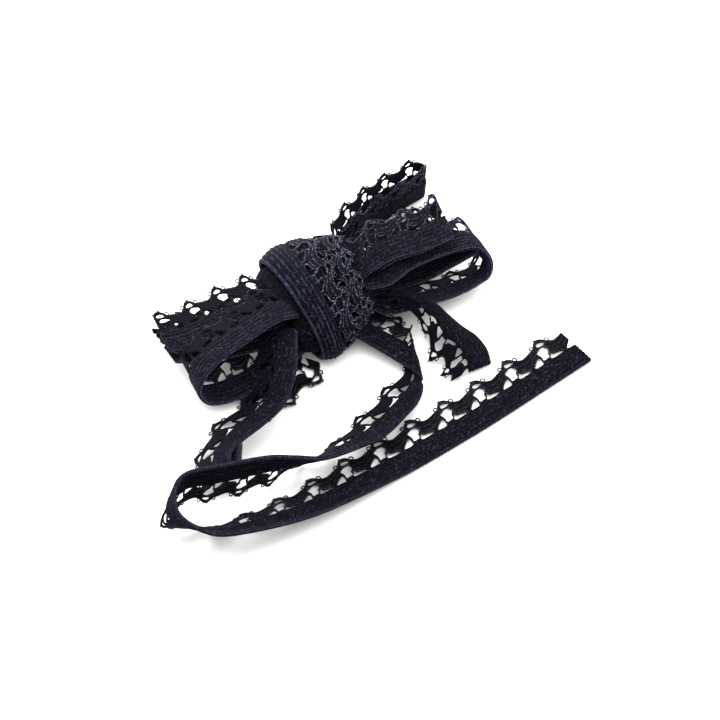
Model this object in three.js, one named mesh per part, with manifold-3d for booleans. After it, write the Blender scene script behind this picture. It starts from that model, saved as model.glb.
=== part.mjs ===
// A hank of picot elastic: flat loops of a narrow lace-edged elastic, tied round the waist with
// turns of the same elastic, with loose ends lying beside it.
// Units are millimetres, +Z is up, and the hank lies on z = 0.
import * as THREE from "three";
import Module from "manifold-3d";

const wasm = await Module();
wasm.setup();

// The elastic: a ribbed band with a plain edge, and a lace with a row of picots at its other edge.
const WIDTH = 13;
const BAND_WIDTH = 6.3;
const BAND_THICK = 1.3;
const LACE_THICK = 1.0;
const VALLEY_DEPTH = 1.9;
const PITCH = 8.0;
const STEPS_PER_PITCH = 4;
const LACE_MIDDLE = 9.2;

// The waist: the packed turns under the wrap, and the wrap round them.
const WAIST_TILT = 12;
const WAIST_POINTS = 36;
const GAP = 0.3;

// The origin is the middle of the whole, at its lowest point.
const LAYOUT_CENTRE = { x: 2.65, y: -4.68 };

const navy = (name, colour) =>
  new THREE.MeshStandardMaterial({ name, color: colour, roughness: 0.85, metalness: 0 });
const HANK_YARN = navy("hank_yarn", 0x17171f);
const WRAP_YARN = navy("wrap_yarn", 0x1d1d28);
const TAIL_YARN = navy("tail_yarn", 0x14141b);

// Each row is a place on a ribbon. x, y, z: the plain edge. turn: the plan angle from the plain edge
// to the picots. dip: how far that direction rises (+) or falls (-), in degrees. bow: how far the
// middle of the width stands out of flat. share: the part of the full width that shows.
const LONG_TAIL = [
  { x: -2.4, y: 5.2, z: 3.7, turn: 54, dip: -12 },
  { x: 4.5, y: 0.3, z: 3.3, turn: 54, dip: -10 },
  { x: 10.6, y: -4.0, z: 2.9, turn: 82, dip: -5, share: 1.08 },
  { x: 13.8, y: -6.2, z: 2.4, turn: 98, dip: -1, share: 1.17 },
  { x: 14.9, y: -6.9, z: 1.5, turn: 101, dip: 0, share: 1.2 },
  { x: 14.2, y: -7.4, z: 0.66, turn: 104, dip: 0, share: 1.17 },
  { x: 14.9, y: -9.6, z: 1.2, turn: 124, dip: -2, share: 1.06 },
  { x: 14.6, y: -12.4, z: 2.8, turn: 146, dip: -9, share: 0.94 },
  { x: 12.4, y: -18.2, z: 4.4, turn: 144, dip: -17, share: 0.92 },
  { x: 6.1, y: -27.0, z: 5.4, turn: 137, dip: -22, share: 0.95 },
  { x: 0.0, y: -32.9, z: 7.9, turn: 122, dip: -35 },
  { x: -8.2, y: -38.7, z: 10.4, turn: 114, dip: -50 },
  { x: -14.6, y: -39.8, z: 12.0, turn: 122, dip: -64 },
  { x: -20.9, y: -40.6, z: 13.3, turn: 125, dip: -83 },
  { x: -32.5, y: -43.7, z: 13.5, turn: 125, dip: -90 },
  { x: -40.1, y: -45.3, z: 13.3, turn: 158, dip: -85 },
  { x: -42.6, y: -48.8, z: 12.9, turn: 163, dip: -75 },
  { x: -42.5, y: -54.3, z: 12.6, turn: 136, dip: -68 },
  { x: -40.9, y: -58.1, z: 11.7, turn: 110, dip: -61 },
  { x: -37.0, y: -60.6, z: 10.3, turn: 92, dip: -50 },
  { x: -30.8, y: -61.1, z: 8.8, turn: 102, dip: -40 },
  { x: -19.0, y: -56.1, z: 6.7, turn: 118, dip: -28 },
  { x: -9.8, y: -50.6, z: 4.7, turn: 122, dip: -19 },
  { x: -1.4, y: -44.6, z: 2.9, turn: 125, dip: -10 },
  { x: 6.5, y: -38.6, z: 1.4, turn: 126, dip: -3 },
  { x: 14.5, y: -32.7, z: 0.72, turn: 126, dip: 0 },
  { x: 30.0, y: -20.8, z: 0.65, turn: 129, dip: 0 },
  { x: 46.0, y: -7.4, z: 0.65, turn: 130, dip: 0 },
  { x: 54.0, y: -0.7, z: 0.65, turn: 130, dip: 0 },
];

const SHORT_TAIL = [
  { x: 6.4, y: 15.2, z: 7.0, turn: 240, dip: -10, bow: -1.0, share: 0.46 },
  { x: 12.4, y: 15.2, z: 6.9, turn: 238, dip: -15, bow: -1.8, share: 0.54 },
  { x: 17.8, y: 12.6, z: 5.6, turn: 235, dip: -27, bow: -2.8, share: 0.66 },
  { x: 20.9, y: 11.2, z: 3.5, turn: 229, dip: -14, bow: -3.2, share: 0.88 },
  { x: 24.4, y: 8.6, z: 2.4, turn: 224, dip: -8, bow: -2.8, share: 1.08 },
  { x: 27.3, y: 6.1, z: 1.8, turn: 218, dip: -5, bow: -2.2, share: 1.08 },
  { x: 29.6, y: 2.4, z: 1.1, turn: 212, dip: -1, bow: -1.6, share: 1.06 },
  { x: 30.5, y: -1.6, z: 0.8, turn: 209, dip: 0, bow: -0.8, share: 1.02 },
];

const FRONT_TAIL = [
  { x: -14.8, y: 0.8, z: 9.7, turn: 166, dip: -30, bow: -1.5, share: 0.66 },
  { x: -14.7, y: -6.1, z: 11.0, turn: 170, dip: -25 },
  { x: -14.9, y: -12.7, z: 11.0, turn: 158, dip: -25 },
  { x: -16.2, y: -18.0, z: 10.1, turn: 148, dip: -26 },
  { x: -18.2, y: -21.7, z: 8.7, turn: 141, dip: -31 },
  { x: -22.5, y: -25.2, z: 6.8, turn: 138, dip: -28 },
  { x: -27.1, y: -30.4, z: 7.6, turn: 150, dip: -33 },
  { x: -29.7, y: -35.8, z: 9.6, turn: 166, dip: -44 },
  { x: -29.9, y: -39.4, z: 10.6, turn: 176, dip: -51 },
  { x: -28.9, y: -41.0, z: 10.6, turn: 178, dip: -52 },
  { x: -27.8, y: -39.6, z: 10.5, turn: 178, dip: -51 },
  { x: -27.5, y: -34.8, z: 9.3, turn: 176, dip: -48, share: 0.9 },
];

const UNDER_TAIL = [
  { x: -20.5, y: 3.2, z: 0.65, turn: 344, dip: 0, share: 1.06 },
  { x: -20.9, y: 0.8, z: 0.65, turn: 333, dip: 0, share: 1.06 },
  { x: -21.7, y: -0.3, z: 0.65, turn: 323, dip: 0, share: 1.06 },
  { x: -23.9, y: -2.5, z: 0.65, turn: 316, dip: 0, share: 1.06 },
  { x: -28.3, y: -6.7, z: 0.65, turn: 315, dip: 0, share: 1.06 },
];

// The loops of the hank, each out along its upper side, round its tip and back below.
const RIGHT_FRONT_LOOP = [
  { x: 1.6, y: 13.6, z: 9.4, turn: 114, dip: 3 },
  { x: 7.0, y: 13.4, z: 11.4, turn: 110, dip: -3 },
  { x: 12.3, y: 18.0, z: 11.8, turn: 108, dip: -6 },
  { x: 18.4, y: 21.4, z: 12.0, turn: 107, dip: -8 },
  { x: 24.5, y: 23.8, z: 12.2, turn: 106, dip: -10 },
  { x: 27.8, y: 24.2, z: 12.0, turn: 108, dip: -16 },
  { x: 29.8, y: 23.4, z: 10.5, turn: 110, dip: -20 },
  { x: 30.8, y: 22.1, z: 8.3, turn: 110, dip: -22, share: 0.95 },
  { x: 30.2, y: 20.5, z: 6.2, turn: 108, dip: -21, share: 0.88 },
  { x: 28.2, y: 19.6, z: 4.9, turn: 105, dip: -20, share: 0.82 },
  { x: 24.3, y: 17.0, z: 4.6, turn: 104, dip: -19, share: 0.82 },
  { x: 18.0, y: 14.0, z: 4.6, turn: 106, dip: -17, share: 0.84 },
  { x: 7.0, y: 10.2, z: 4.8, turn: 112, dip: -12, share: 0.84 },
  { x: 2.3, y: 12.0, z: 5.0, turn: 114, dip: -8, share: 0.84 },
];

const RIGHT_MIDDLE_LOOP = [
  { x: 1.0, y: 16.2, z: 10.6, turn: 114, dip: -2 },
  { x: 3.6, y: 16.2, z: 13.6, turn: 113, dip: 0 },
  { x: 8.4, y: 18.6, z: 15.0, turn: 113, dip: 4 },
  { x: 14.4, y: 20.7, z: 15.1, turn: 112, dip: 5 },
  { x: 19.4, y: 23.1, z: 15.2, turn: 111, dip: 7 },
  { x: 21.8, y: 25.4, z: 14.6, turn: 111, dip: 8 },
  { x: 19.6, y: 24.8, z: 13.4, turn: 111, dip: 5 },
  { x: 14.4, y: 21.7, z: 13.3, turn: 112, dip: 1 },
  { x: 8.0, y: 19.2, z: 13.1, turn: 113, dip: -1 },
  { x: 1.0, y: 16.2, z: 9.2, turn: 114, dip: -3 },
];

const RIGHT_INNER_LOOP = [
  { x: 1.8, y: 14.8, z: 8.0, turn: 114, dip: 0 },
  { x: 7.0, y: 16.4, z: 9.8, turn: 111, dip: -4 },
  { x: 13.0, y: 19.8, z: 10.3, turn: 108, dip: -7 },
  { x: 20.0, y: 23.2, z: 10.6, turn: 107, dip: -8 },
  { x: 25.6, y: 24.9, z: 10.7, turn: 107, dip: -12 },
  { x: 27.4, y: 24.9, z: 9.8, turn: 107, dip: -12 },
  { x: 24.4, y: 23.6, z: 8.4, turn: 107, dip: -10 },
  { x: 20.5, y: 22.0, z: 6.9, turn: 107, dip: -8 },
  { x: 16.6, y: 20.6, z: 5.2, turn: 108, dip: -6 },
  { x: 9.6, y: 18.6, z: 4.2, turn: 111, dip: -4 },
  { x: 1.8, y: 15.2, z: 5.4, turn: 114, dip: -4 },
];

const RIGHT_BACK_LOOP = [
  { x: -1.6, y: 23.4, z: 5.0, turn: 118, dip: 22, share: 0.72 },
  { x: -0.6, y: 30.2, z: 2.2, turn: 128, dip: 72, share: 0.86 },
  { x: 3.6, y: 40.0, z: 1.0, turn: 130, dip: 94, share: 0.96 },
  { x: 8.5, y: 45.3, z: 0.7, turn: 130, dip: 99 },
  { x: 13.5, y: 49.2, z: 0.7, turn: 130, dip: 98 },
  { x: 15.5, y: 51.0, z: 0.7, turn: 130, dip: 96 },
  { x: 13.6, y: 51.9, z: 0.7, turn: 130, dip: 95 },
  { x: 8.0, y: 48.4, z: 0.7, turn: 130, dip: 95 },
  { x: 2.0, y: 43.0, z: 1.2, turn: 130, dip: 92, share: 0.96 },
  { x: -2.6, y: 33.6, z: 2.6, turn: 128, dip: 74, share: 0.86 },
  { x: -3.4, y: 24.4, z: 6.4, turn: 118, dip: 22, share: 0.6 },
];

const LEFT_BACK_LOOP = [
  { x: -15.9, y: 7.5, z: 9.2, turn: 122, dip: 0 },
  { x: -21.5, y: 5.4, z: 10.6, turn: 119, dip: 1 },
  { x: -28.0, y: 1.8, z: 10.8, turn: 118, dip: 1 },
  { x: -35.0, y: -2.2, z: 10.4, turn: 117, dip: 1 },
  { x: -41.6, y: -5.0, z: 9.9, turn: 114, dip: 1 },
  { x: -44.4, y: -4.0, z: 9.0, turn: 112, dip: 1, share: 0.9 },
  { x: -41.8, y: -4.6, z: 8.1, turn: 114, dip: 1 },
  { x: -35.0, y: -1.8, z: 8.2, turn: 117, dip: 0 },
  { x: -28.0, y: 2.0, z: 8.3, turn: 118, dip: 0 },
  { x: -15.9, y: 7.5, z: 7.6, turn: 122, dip: 0 },
];

const LEFT_MIDDLE_LOOP = [
  { x: -15.4, y: 6.7, z: 6.2, turn: 122, dip: 0 },
  { x: -22.0, y: 3.6, z: 6.4, turn: 120, dip: 0 },
  { x: -30.0, y: -0.6, z: 6.6, turn: 119, dip: 1 },
  { x: -38.0, y: -4.4, z: 6.6, turn: 119, dip: 1 },
  { x: -43.0, y: -5.2, z: 5.6, turn: 121, dip: 1, share: 0.85 },
  { x: -38.0, y: -4.2, z: 4.7, turn: 119, dip: 0 },
  { x: -30.0, y: -0.4, z: 4.6, turn: 119, dip: 0 },
  { x: -22.0, y: 3.8, z: 4.6, turn: 120, dip: 0 },
  { x: -15.4, y: 6.7, z: 4.6, turn: 122, dip: 0 },
];

const LEFT_FRONT_LOOP = [
  { x: -14.3, y: 5.0, z: 9.8, turn: 122, dip: 2 },
  { x: -18.0, y: 1.8, z: 12.4, turn: 124, dip: -4 },
  { x: -21.7, y: -1.1, z: 12.8, turn: 127, dip: -8 },
  { x: -26.4, y: -5.6, z: 12.9, turn: 128, dip: -9 },
  { x: -31.2, y: -9.6, z: 12.7, turn: 128, dip: -10 },
  { x: -34.6, y: -13.2, z: 12.0, turn: 124, dip: -10 },
  { x: -36.6, y: -15.5, z: 10.8, turn: 118, dip: -8 },
  { x: -37.6, y: -16.2, z: 8.8, turn: 114, dip: -6 },
  { x: -37.6, y: -16.2, z: 6.4, turn: 112, dip: -4 },
  { x: -36.0, y: -16.3, z: 4.0, turn: 112, dip: -3 },
  { x: -33.4, y: -16.1, z: 2.8, turn: 114, dip: -2 },
  { x: -28.0, y: -14.0, z: 2.5, turn: 118, dip: -1 },
  { x: -20.0, y: -8.4, z: 2.5, turn: 122, dip: 0 },
  { x: -11.9, y: 0.8, z: 3.4, turn: 122, dip: 0 },
];

// Sections of the waist from left to right. across and up are half sizes, and turn is the plan
// angle of the across direction, from the middle to the front.
const WAIST = [
  { x: -18.6, y: 8.2, z: 6.3, across: 11.2, up: 3.6, turn: -57.7 },
  { x: -17.2, y: 9.1, z: 6.3, across: 12.4, up: 4.3, turn: -57.7 },
  { x: -16.2, y: 9.7, z: 6.3, across: 12.6, up: 4.4, turn: -57.7 },
  { x: -2.1, y: 20.0, z: 6.3, across: 10.6, up: 4.4, turn: -65.7 },
  { x: -1.2, y: 20.4, z: 6.3, across: 10.4, up: 4.3, turn: -65.7 },
  { x: 0.6, y: 21.2, z: 6.3, across: 9.4, up: 3.6, turn: -65.7 },
];

// The wrap's outside, from its left rim (0) to its right rim (1), over the three turns.
const WRAP_STEPS = [
  { along: 0.0, depth: 1.3 },
  { along: 0.16, depth: 2.8 },
  { along: 0.2, depth: 3.1 },
  { along: 0.46, depth: 3.4 },
  { along: 0.64, depth: 3.0 },
  { along: 0.68, depth: 2.5 },
  { along: 0.82, depth: 1.9 },
  { along: 0.86, depth: 1.5 },
  { along: 1.0, depth: 1.1 },
];

const radians = THREE.MathUtils.degToRad;

// The named value of the rows at place t, where row i lies at t = i.
function interpolate(rows, name, fallback, t) {
  const last = rows.length - 1;
  const i = Math.min(Math.floor(t), last - 1);
  const at = (k) => rows[THREE.MathUtils.clamp(k, 0, last)][name] ?? fallback;
  const [a, b, c, d] = [at(i - 1), at(i), at(i + 1), at(i + 2)];
  const f = t - i;
  const slopeB = (c - a) / 2;
  const slopeC = (d - b) / 2;
  return (
    b * (1 + 2 * f) * (1 - f) ** 2 +
    slopeB * f * (1 - f) ** 2 +
    c * f * f * (3 - 2 * f) +
    slopeC * f * f * (f - 1)
  );
}

// The ribbon's frame at t: its plain edge, the direction over its width, its bow and width.
function rulingAt(rows, t) {
  const value = (name, fallback = 0) => interpolate(rows, name, fallback, t);
  const turn = radians(value("turn"));
  const dip = radians(value("dip"));
  const bow = value("bow");
  const shown = WIDTH * value("share", 1) - (8 * bow * bow) / (3 * WIDTH);
  return {
    edge: new THREE.Vector3(value("x"), value("y"), value("z")),
    over: new THREE.Vector3(
      Math.cos(dip) * Math.cos(turn),
      Math.cos(dip) * Math.sin(turn),
      Math.sin(dip),
    ),
    bow,
    shown,
  };
}

// Places t along the rows, one every STEPS_PER_PITCH-th of a pitch of the middle line.
function stations(rows, pitch) {
  const fine = 24 * (rows.length - 1);
  const middle = (t) => {
    const ruling = rulingAt(rows, t);
    return ruling.edge.addScaledVector(ruling.over, ruling.shown / 2);
  };
  const step = pitch / STEPS_PER_PITCH;
  const places = [];
  let before = middle(0);
  let run = 0;
  for (let i = 0; i <= fine; i++) {
    const t = (i * (rows.length - 1)) / fine;
    const here = middle(t);
    run += here.distanceTo(before);
    before = here;
    if (i === 0 || run >= step * places.length) places.push(t);
  }
  places[places.length - 1] = rows.length - 1;
  return places;
}

// The lace's depth from the plain edge: full at the picots, less in the valleys between them.
function laceReach(step) {
  const phase = (2 * Math.PI * step) / STEPS_PER_PITCH;
  return WIDTH - (VALLEY_DEPTH * (1 - Math.cos(phase))) / 2;
}

// A closed solid from rings of points, each ring going round against the direction of travel.
function loft(rings) {
  const count = rings[0].length;
  const index = [];
  for (let r = 0; r + 1 < rings.length; r++) {
    for (let k = 0; k < count; k++) {
      const a = r * count + k;
      const b = r * count + ((k + 1) % count);
      index.push(a, a + count, b, b, a + count, b + count);
    }
  }
  const last = (rings.length - 1) * count;
  for (let k = 0; k < count / 2 - 1; k++) {
    const [a, b, c, d] = [k, k + 1, count - 2 - k, count - 1 - k];
    index.push(a, b, c, a, c, d);
    index.push(last + a, last + c, last + b, last + a, last + d, last + c);
  }
  return solidGeometry(rings.flat().flatMap((p) => [p.x, p.y, p.z]), index);
}

function solidGeometry(positions, index) {
  const geometry = new THREE.BufferGeometry();
  geometry.setAttribute("position", new THREE.Float32BufferAttribute(positions, 3));
  geometry.setIndex(index);
  return geometry;
}

// A ribbon with its thicker band, its scalloped lace edge and its bow across the width, held above
// the table.
function ribbon(rows, pitch = PITCH) {
  const places = stations(rows, pitch);
  const across = (ruling, reach) => {
    const s = reach / WIDTH;
    return { along: s * ruling.shown, lift: 4 * ruling.bow * s * (1 - s) };
  };
  const rings = places.map((t, step) => {
    const ruling = rulingAt(rows, t);
    const ahead = rulingAt(rows, Math.min(t + 0.05, rows.length - 1));
    const behind = rulingAt(rows, Math.max(t - 0.05, 0));
    const travel = ahead.edge
      .addScaledVector(ahead.over, ahead.shown / 2)
      .sub(behind.edge.addScaledVector(behind.over, behind.shown / 2));
    const normal = travel.cross(ruling.over).normalize();
    const reaches = [0, BAND_WIDTH / 2, BAND_WIDTH, LACE_MIDDLE, laceReach(step)];
    const face = (side) =>
      reaches.map((reach) => {
        const { along, lift } = across(ruling, reach);
        const half = (reach <= BAND_WIDTH ? BAND_THICK : LACE_THICK) / 2;
        const point = ruling.edge
          .clone()
          .addScaledVector(ruling.over, along)
          .addScaledVector(normal, lift + side * half);
        point.z = Math.max(point.z, 0);
        return point;
      });
    return [...face(1), ...face(-1).reverse()];
  });
  return loft(rings);
}

// One elliptical ring of the waist, grown by depth, and held above the table.
function waistRing(section, depth) {
  const turn = radians(section.turn);
  const tilt = radians(WAIST_TILT);
  const front = new THREE.Vector3(
    Math.cos(turn) * Math.cos(tilt),
    Math.sin(turn) * Math.cos(tilt),
    -Math.sin(tilt),
  );
  const up = new THREE.Vector3(
    Math.cos(turn) * Math.sin(tilt),
    Math.sin(turn) * Math.sin(tilt),
    Math.cos(tilt),
  );
  return Array.from({ length: WAIST_POINTS }, (_, k) => {
    const angle = (2 * Math.PI * (k + 0.5)) / WAIST_POINTS;
    const point = new THREE.Vector3(section.x, section.y, section.z)
      .addScaledVector(front, (section.across + depth) * Math.cos(angle))
      .addScaledVector(up, (section.up + depth) * Math.sin(angle));
    point.z = Math.max(point.z, 0);
    return point;
  });
}

function toSolid(geometry) {
  return new wasm.Manifold(
    new wasm.Mesh({
      numProp: 3,
      vertProperties: new Float32Array(geometry.getAttribute("position").array),
      triVerts: new Uint32Array(geometry.getIndex().array),
    }),
  );
}

function toGeometry(solid) {
  const mesh = solid.getMesh();
  return solidGeometry(Array.from(mesh.vertProperties), Array.from(mesh.triVerts));
}

// The packed waist and the loops that come out of it, as one solid.
function hank() {
  const waist = toSolid(loft(WAIST.map((section) => waistRing(section, 0))));
  const loops = [
    RIGHT_FRONT_LOOP,
    RIGHT_MIDDLE_LOOP,
    RIGHT_INNER_LOOP,
    RIGHT_BACK_LOOP,
    LEFT_BACK_LOOP,
    LEFT_MIDDLE_LOOP,
    LEFT_FRONT_LOOP,
  ];
  const whole = loops.reduce((sum, rows) => sum.add(toSolid(ribbon(rows))), waist);
  const pinch = wrapPlug((depth) => 2.3 * GAP + depth, -0.04, 1.04).subtract(
    wrapPlug(() => 0, -0.1, 1.1),
  );
  return toGeometry(whole.subtract(pinch));
}

// The shape of the wrap's turns, as a plug grown by so much, from one place along the waist to another.
function wrapPlug(grow, from, to) {
  const [left, right] = [WAIST[2], WAIST[3]];
  const sectionAt = (along) =>
    Object.fromEntries(
      Object.keys(left).map((name) => [
        name,
        THREE.MathUtils.lerp(left[name], right[name], along),
      ]),
    );
  const last = WRAP_STEPS.length - 1;
  const rings = WRAP_STEPS.map(({ along, depth }, i) => {
    const place = i === 0 ? from : i === last ? to : along;
    return waistRing(sectionAt(place), grow(depth));
  });
  return toSolid(loft(rings));
}

// The turns that tie the waist: a stepped sleeve, open at both ends.
function waistWrap() {
  const outside = wrapPlug((depth) => GAP + depth, 0, 1);
  const inside = wrapPlug(() => GAP, -0.1, 1.1);
  return toGeometry(outside.subtract(inside));
}

// A loose end cut off where it goes in under the wrap.
function clearOfWrap(geometry) {
  const plug = wrapPlug((depth) => 2.4 * GAP + depth, -0.04, 1.04);
  return toGeometry(toSolid(geometry).subtract(plug));
}

function piece(name, geometry, material) {
  geometry.computeVertexNormals();
  const mesh = new THREE.Mesh(geometry, material);
  mesh.name = name;
  return mesh;
}

const picotElastic = new THREE.Group();
picotElastic.name = "picot_elastic_hank";
picotElastic.position.set(-LAYOUT_CENTRE.x, -LAYOUT_CENTRE.y, 0);
picotElastic.add(
  piece("hank", hank(), HANK_YARN),
  piece("waist_wrap", waistWrap(), WRAP_YARN),
  piece("long_tail", clearOfWrap(ribbon(LONG_TAIL, 9.6)), TAIL_YARN),
  piece("short_tail", clearOfWrap(ribbon(SHORT_TAIL)), TAIL_YARN),
  piece("front_tail", ribbon(FRONT_TAIL, 8.8), TAIL_YARN),
  piece("under_tail", clearOfWrap(ribbon(UNDER_TAIL, 8.8)), TAIL_YARN),
);

export default picotElastic;
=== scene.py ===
"""A hank of picot elastic, tied round its waist, dressed over its CAD frame.

The elastic is a ribbed band with a plain edge and a lace of holes and picots at its other edge.
One repeat of it is charted flat, and each loop, turn and loose end lays that repeat along its own
route. Charts and routes are in millimetres and pieces in metres.
"""

import logging
import math
from collections.abc import Sequence
from dataclasses import dataclass, field
from enum import Enum
from functools import reduce

import bpy
import numpy as np
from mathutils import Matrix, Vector
from mathutils.geometry import delaunay_2d_cdt

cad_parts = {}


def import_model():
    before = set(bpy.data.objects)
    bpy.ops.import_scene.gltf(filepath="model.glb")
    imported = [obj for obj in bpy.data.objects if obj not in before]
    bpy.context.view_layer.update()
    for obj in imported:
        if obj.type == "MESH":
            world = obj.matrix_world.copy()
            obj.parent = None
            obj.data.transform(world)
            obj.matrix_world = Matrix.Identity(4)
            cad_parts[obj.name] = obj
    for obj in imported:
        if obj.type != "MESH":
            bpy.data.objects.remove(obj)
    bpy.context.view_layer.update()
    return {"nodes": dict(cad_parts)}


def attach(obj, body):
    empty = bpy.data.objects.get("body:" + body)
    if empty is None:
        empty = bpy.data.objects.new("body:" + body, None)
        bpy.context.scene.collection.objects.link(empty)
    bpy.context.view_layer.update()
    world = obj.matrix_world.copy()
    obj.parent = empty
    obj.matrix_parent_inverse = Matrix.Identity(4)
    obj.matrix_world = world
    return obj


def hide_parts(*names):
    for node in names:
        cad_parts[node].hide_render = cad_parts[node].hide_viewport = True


log = logging.getLogger("picot_elastic")

MM = 0.001
TINY = 1e-12
LAYOUT_CENTRE = (2.65, -4.68)
CHART = "chart"

# The flat elastic: its width over the picots, its band, one repeat of its lace, its ribs, and how
# far the first rib's crest is from the plain edge.
WIDTH = 13.0
BAND_WIDTH = 5.7
REPEAT = 9.6
RIB_SPACING = 1.1
CREST = 0.25

Array = np.ndarray
Material = bpy.types.Material
Socket = bpy.types.NodeSocket
Point = tuple[float, float]
Chart = tuple[Point, ...]
Colour = tuple[float, float, float]
Stars = tuple[tuple[int, float], ...]
MeshParts = tuple[Array, list[Sequence[int]], Array]


class Lay(Enum):
    """How a length of the elastic is held."""

    FOLDED = "folded"
    LAID = "laid"
    STRETCHED = "stretched"


class Slot(Enum):
    """The record's material slots."""

    HANK = "hank_yarn"
    WRAP = "wrap_yarn"
    TAIL = "tail_yarn"


@dataclass(frozen=True)
class Row:
    """A place on a ribbon.

    x, y and z are its plain edge. turn is the plan angle from that edge to the picots, and dip how
    far that direction rises. share is the part of the full width that shows, and bow how far the
    middle of the width stands out of flat.
    """

    x: float
    y: float
    z: float
    turn: float
    dip: float
    share: float = 1.0
    bow: float = 0.0


Length = tuple[str, tuple[Row, ...], Stars]

# Each route is laid out from the photograph, and goes on by guess where it isn't seen.

LONG_TAIL = (
    Row(-2.4, 5.2, 3.7, 54, -12),
    Row(4.5, 0.3, 3.3, 54, -10),
    Row(10.3, -4, 2.9, 82, -5, 1.06),
    Row(13.2, -6.2, 2.4, 97, -1, 1.1),
    Row(14.3, -7, 1.5, 100, 0, 1.12),
    Row(13.9, -7.6, 0.66, 103, 0, 1.08),
    Row(14.6, -9.8, 1.2, 108, -2, 0.94),
    Row(14.4, -12.5, 2.8, 115, -9, 0.86),
    Row(13.7, -15.2, 3.6, 121, -13, 0.88),
    Row(12.2, -18.4, 4.4, 127, -17, 0.92),
    Row(6.1, -27, 5.4, 128, -22, 0.96),
    Row(0, -32.7, 7.9, 118, -35),
    Row(-8.2, -38.2, 10.4, 113, -50),
    Row(-14.6, -39.3, 12, 121, -64),
    Row(-20.9, -40.3, 13.4, 125, -83),
    Row(-32.3, -43.2, 13.8, 125, -90),
    Row(-39.6, -45.1, 13.5, 158, -85),
    Row(-42.3, -48.8, 12.9, 163, -75),
    Row(-42.3, -54.2, 12.6, 136, -68),
    Row(-40.6, -57.3, 11.7, 110, -61),
    Row(-36.8, -59.2, 10.3, 92, -50),
    Row(-30.8, -59.6, 8.8, 102, -40),
    Row(-19, -55.3, 6.7, 118, -28),
    Row(-9.8, -50.3, 4.7, 122, -19),
    Row(-1.4, -44.3, 2.9, 125, -10),
    Row(6.5, -38.3, 1.4, 126, -3),
    Row(14.5, -32.4, 0.72, 126, 0),
    Row(30, -20.5, 0.65, 129, 0),
    Row(46, -7.2, 0.65, 130, 0),
    Row(54, -0.5, 0.65, 130, 0),
)

LONG_TAIL_STARS = (
    (-3, 4.6), (-2, 12.0), (0, 30.9), (1, 41.6), (2, 52.2), (4, 70.8), (6, 86.7), (8, 100.4),
    (10, 121.0), (19, 209.0),
)

SHORT_TAIL = (
    Row(6.4, 15.2, 7, 240, -10, 0.46, -1),
    Row(12.4, 15.2, 6.9, 238, -15, 0.54, -1.8),
    Row(17.8, 12.6, 5.6, 235, -27, 0.66, -2.8),
    Row(20.7, 10.9, 3.5, 229, -14, 0.88, -3.2),
    Row(24.1, 8.1, 2.4, 224, -8, 1.06, -2.8),
    Row(27.2, 5.8, 1.8, 219, -5, 1.07, -2.2),
    Row(29.6, 2.4, 1.1, 214, -1, 1.06, -1.6),
    Row(30.5, -1.6, 0.8, 212, 0, 1.04, -0.8),
)

FRONT_TAIL = (
    Row(-14.8, 0.8, 9.7, 166, -30, 0.66, -1.5),
    Row(-14.7, -6.1, 11, 170, -25),
    Row(-14.9, -12.7, 11, 158, -25),
    Row(-16.2, -18, 10.1, 148, -26, 1.06),
    Row(-18.2, -21.7, 8.7, 141, -31, 1.12),
    Row(-22.5, -25.2, 6.8, 138, -28, 1.12),
    Row(-27.1, -30.4, 7.6, 150, -33, 1.04),
    Row(-29.7, -35.8, 9.6, 164, -44),
    Row(-29.9, -39.4, 10.6, 174, -51),
    Row(-28.9, -41, 10.6, 178, -52),
    Row(-27.8, -39.6, 10.5, 178, -51),
    Row(-27.4, -31.8, 8.3, 176, -48, 0.9),
)

UNDER_TAIL = (
    Row(-19, 2.5, 0.65, 338, 0),
    Row(-19.6, -0.1, 0.65, 330, 0),
    Row(-20.6, -1.4, 0.65, 322, 0),
    Row(-22.9, -3.7, 0.65, 316, 0),
    Row(-27.3, -7.8, 0.65, 315, 0),
    Row(-29.9, -10.4, 0.65, 315, 0),
)

RIGHT_FRONT_LOOP = (
    Row(1.6, 13.6, 9.4, 114, 3),
    Row(7, 13.4, 11.4, 110, -3),
    Row(12.3, 18, 11.8, 108, -6),
    Row(18.4, 21.4, 12, 107, -8),
    Row(24.5, 23.8, 12.2, 106, -10),
    Row(27.8, 24.2, 12, 108, -16),
    Row(29.8, 23.4, 10.5, 110, -20),
    Row(30.8, 22.1, 8.3, 110, -22, 0.95),
    Row(30.2, 20.5, 6.2, 108, -21, 0.88),
    Row(28.2, 19.6, 4.9, 105, -20, 0.82),
    Row(24.3, 17, 4.6, 104, -19, 0.82),
    Row(18, 14, 4.6, 106, -17, 0.84),
    Row(7, 10.2, 4.8, 112, -12, 0.84),
    Row(2.3, 12, 5, 114, -8, 0.84),
)

RIGHT_MIDDLE_LOOP = (
    Row(1, 16.2, 10.6, 114, -2),
    Row(3.6, 16.2, 13.6, 113, 0),
    Row(8.4, 18.6, 15, 113, 4),
    Row(14.4, 20.7, 15.1, 112, 5),
    Row(19.4, 23.1, 15.2, 111, 7),
    Row(21.8, 25.4, 14.6, 111, 8, 1.05),
    Row(19.6, 24.8, 13.4, 111, 5),
    Row(14.4, 21.7, 13.3, 112, 1),
    Row(8, 19.2, 13.1, 113, -1),
    Row(1, 16.2, 9.2, 114, -3),
)

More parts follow.
